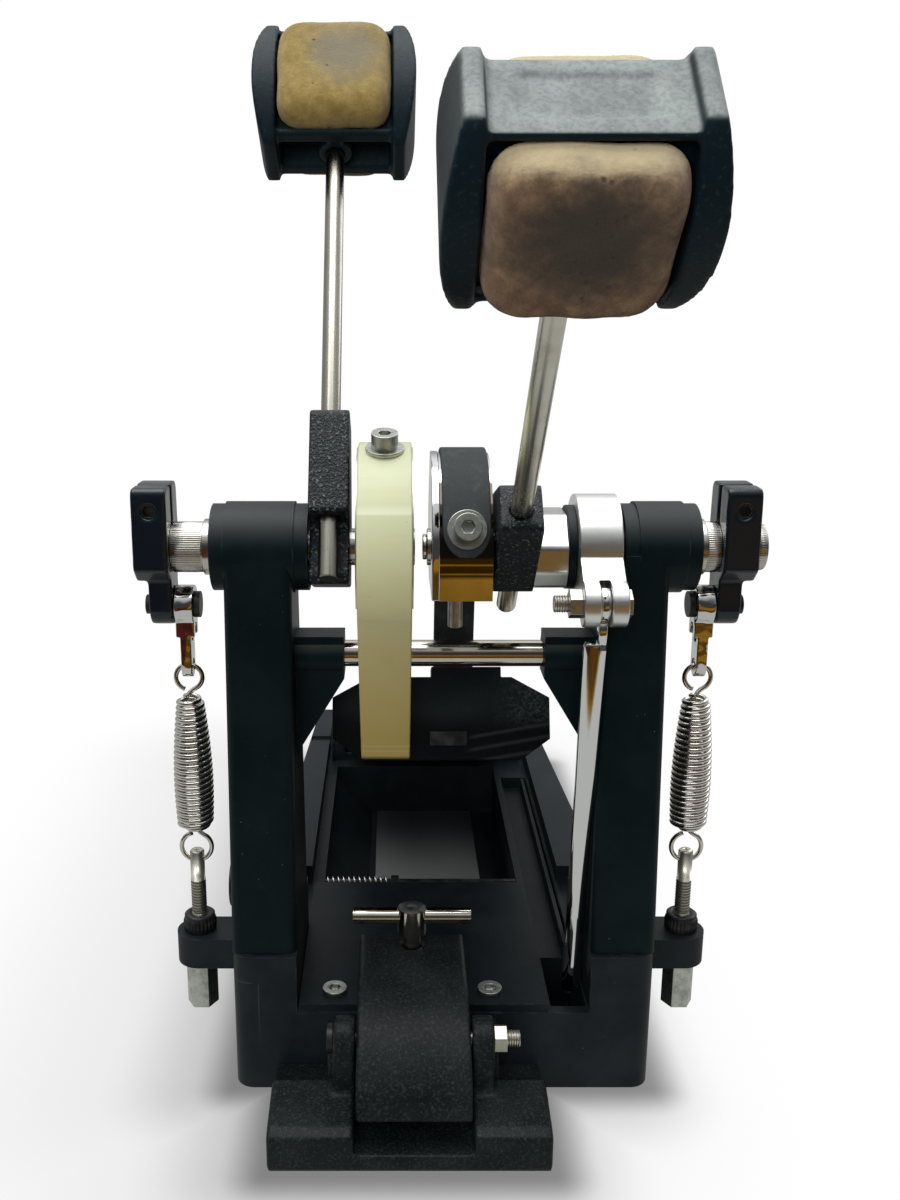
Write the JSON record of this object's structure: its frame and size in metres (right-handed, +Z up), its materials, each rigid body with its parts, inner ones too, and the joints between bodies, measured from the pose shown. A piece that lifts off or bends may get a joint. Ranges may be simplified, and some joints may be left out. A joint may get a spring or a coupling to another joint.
{
  "type": "bass drum pedal",
  "caption": "Bass drum pedal whose footboard turns a pair of felt beaters opposite ways on coaxial axles through strap cams, with return springs and a hoop clamp.",
  "frame": {"origin": "on the floor under the axle, midway between the towers", "axes": "+X to the right seen from the drum, +Y along the footboard to the heel, +Z up"},
  "size_m": [0.2535, 0.5039, 0.4414],
  "materials": {
    "black_casting": "fine texture",
    "coarse_black": "coarse texture",
    "gloss_black": "gloss",
    "black_plastic": "satin",
    "tan_felt": "pressed felt",
    "cream_strap": "woven",
    "black_strap": "woven",
    "steel": "satin",
    "bright_chrome": "mirror",
    "satin_aluminium": "satin",
    "black_steel": "oiled"
  },
  "bodies": {
    "frame": {"base_frame": "black_casting", "floor_plate": "steel", "deck_plate": "black_casting", "deck_screws": "black_steel", "heel_plate": "black_casting", "left_tower": "black_casting", "right_tower": "black_casting", "cross_rod": "steel", "left_bearings": "steel", "right_bearings": "steel", "tower_bolts": "steel", "spring_studs": "steel", "hinge_pin": "steel", "clamp_foot": "black_casting", "clamp_pivot_bolt": "black_steel", "latch_spring": "steel"},
    "footboard": {"footboard": "black_casting", "toe_plate": "steel"},
    "left_axle": {"left_axle": "steel", "left_rocker": "gloss_black", "left_rocker_screws": "black_steel", "left_beater_holder": "coarse_black", "left_holder_screw": "black_steel", "left_beater_rod": "steel", "left_beater_head": "black_plastic", "left_beater_felts": "tan_felt", "left_cam": "satin_aluminium", "front_strap_wrap": "cream_strap", "front_strap_screw": "black_steel"},
    "right_axle": {"right_axle": "steel", "right_end_screw": "black_steel", "right_rocker": "gloss_black", "right_rocker_screws": "black_steel", "right_beater_holder": "coarse_black", "right_holder_screw": "black_steel", "right_beater_rod": "steel", "right_beater_head": "black_plastic", "right_beater_felts": "tan_felt", "right_cam": "bright_chrome", "cam_side_plate": "bright_chrome", "rear_strap_wrap": "black_strap", "rear_strap_screw": "black_steel", "right_hub": "satin_aluminium", "link_collar": "satin_aluminium", "collar_liner": "black_plastic", "link_bolt": "black_steel"},
    "front_strap": {"front_strap": "cream_strap"},
    "rear_strap": {"rear_strap": "black_strap"},
    "left_hook": {"left_spring_hook": "bright_chrome"},
    "right_hook": {"right_spring_hook": "bright_chrome"},
    "left_spring_end": {"left_spring": "steel"},
    "right_spring_end": {"right_spring": "steel"},
    "pull_link": {"pull_link": "bright_chrome"},
    "clamp_arm": {"clamp_arm": "black_casting"},
    "clamp_screw": {"clamp_screw": "black_steel"},
    "latch": {"latch_rod": "black_steel"},
    "left_thumb_nut": {"left_thumb_nut": "black_steel"},
    "right_thumb_nut": {"right_thumb_nut": "black_steel"},
    "left_tension_nut": {"left_tension_nut": "steel"},
    "right_tension_nut": {"right_tension_nut": "steel"}
  },
  "joints": [
    {"name": "footboard_hinge", "type": "hinge", "parent": "frame", "child": "footboard", "pos_m": [0, 0.255, 0.046], "axis": [1, 0, 0], "range_deg": [0, 12]},
    {"name": "left_axle_turn", "type": "hinge", "parent": "frame", "child": "left_axle", "pos_m": [0, 0, 0.228], "axis": [1, 0, 0], "range_deg": [0, 61.63], "stiffness_Nm_per_rad": 0.5, "springref_deg": -51.57, "deforming": ["front_strap_wrap"]},
    {"name": "right_axle_turn", "type": "hinge", "parent": "frame", "child": "right_axle", "pos_m": [0, 0, 0.228], "axis": [1, 0, 0], "range_deg": [-61.32, 0], "stiffness_Nm_per_rad": 0.5, "springref_deg": 51.57, "deforming": ["rear_strap_wrap"]},
    {"name": "front_strap_swing", "type": "hinge", "parent": "footboard", "child": "front_strap", "pos_m": [-0.0242, 0.00979, 0.13271], "axis": [1, 0, 0], "range_deg": [-28.32, 0], "deforming": ["front_strap"]},
    {"name": "rear_strap_swing", "type": "hinge", "parent": "footboard", "child": "rear_strap", "pos_m": [0.0066, 0.05613, 0.13542], "axis": [1, 0, 0], "range_deg": [-20.92, 0], "deforming": ["rear_strap"]},
    {"name": "left_hook_swing", "type": "hinge", "parent": "left_axle", "child": "left_hook", "pos_m": [-0.106, 0, 0.204], "axis": [1, 0, 0], "range_deg": [-71.03, 0]},
    {"name": "right_hook_swing", "type": "hinge", "parent": "right_axle", "child": "right_hook", "pos_m": [0.106, 0, 0.204], "axis": [1, 0, 0], "range_deg": [0, 70.7]},
    {"name": "left_spring_stretch", "type": "slide", "parent": "frame", "child": "left_spring_end", "axis": [0, 0.7936, 0.6084], "range_m": [0, 0.0213], "deforming": ["left_spring"]},
    {"name": "right_spring_stretch", "type": "slide", "parent": "frame", "child": "right_spring_end", "axis": [0, -0.7953, 0.6062], "range_m": [0, 0.02119], "deforming": ["right_spring"]},
    {"name": "pull_link_swing", "type": "hinge", "parent": "right_axle", "child": "pull_link", "pos_m": [0.06005, -0.03, 0.212], "axis": [1, 0, 0], "range_deg": [0, 61.32]},
    {"name": "clamp_arm_pivot", "type": "hinge", "parent": "frame", "child": "clamp_arm", "pos_m": [-0.0128, -0.055, 0.0385], "axis": [1, 0, 0], "range_deg": [0, 6]},
    {"name": "clamp_screw_turn", "type": "hinge", "parent": "clamp_arm", "child": "clamp_screw", "pos_m": [-0.0128, -0.006, 0.0654], "axis": [0, 0, 1], "continuous": true},
    {"name": "latch_slide", "type": "slide", "parent": "frame", "child": "latch", "axis": [1, 0, 0], "range_m": [-0.008, 0], "stiffness_N_per_m": 150, "springref_m": 0.006, "deforming": ["latch_spring"]},
    {"name": "left_thumb_nut_turn", "type": "hinge", "parent": "frame", "child": "left_thumb_nut", "pos_m": [-0.106, 0, 0.056], "axis": [0, 0, 1], "continuous": true},
    {"name": "left_tension_nut_turn", "type": "hinge", "parent": "frame", "child": "left_tension_nut", "pos_m": [-0.106, 0, 0.042], "axis": [0, 0, 1], "continuous": true},
    {"name": "right_thumb_nut_turn", "type": "hinge", "parent": "frame", "child": "right_thumb_nut", "pos_m": [0.106, 0, 0.056], "axis": [0, 0, 1], "continuous": true},
    {"name": "right_tension_nut_turn", "type": "hinge", "parent": "frame", "child": "right_tension_nut", "pos_m": [0.106, 0, 0.042], "axis": [0, 0, 1], "continuous": true}
  ],
  "couplings": [
    {"joint": "left_axle_turn", "follows": "footboard_hinge", "ratio": 5.1319},
    {"joint": "right_axle_turn", "follows": "footboard_hinge", "ratio": -5.1061},
    {"joint": "front_strap_swing", "follows": "footboard_hinge", "ratio": -2.357},
    {"joint": "rear_strap_swing", "follows": "footboard_hinge", "ratio": -1.7405},
    {"joint": "left_hook_swing", "follows": "footboard_hinge", "ratio": -5.9148},
    {"joint": "right_hook_swing", "follows": "footboard_hinge", "ratio": 5.8874},
    {"joint": "left_spring_stretch", "follows": "footboard_hinge", "m_per_rad": 0.10146},
    {"joint": "right_spring_stretch", "follows": "footboard_hinge", "m_per_rad": 0.10092},
    {"joint": "pull_link_swing", "follows": "footboard_hinge", "ratio": 5.1061}
  ]
}
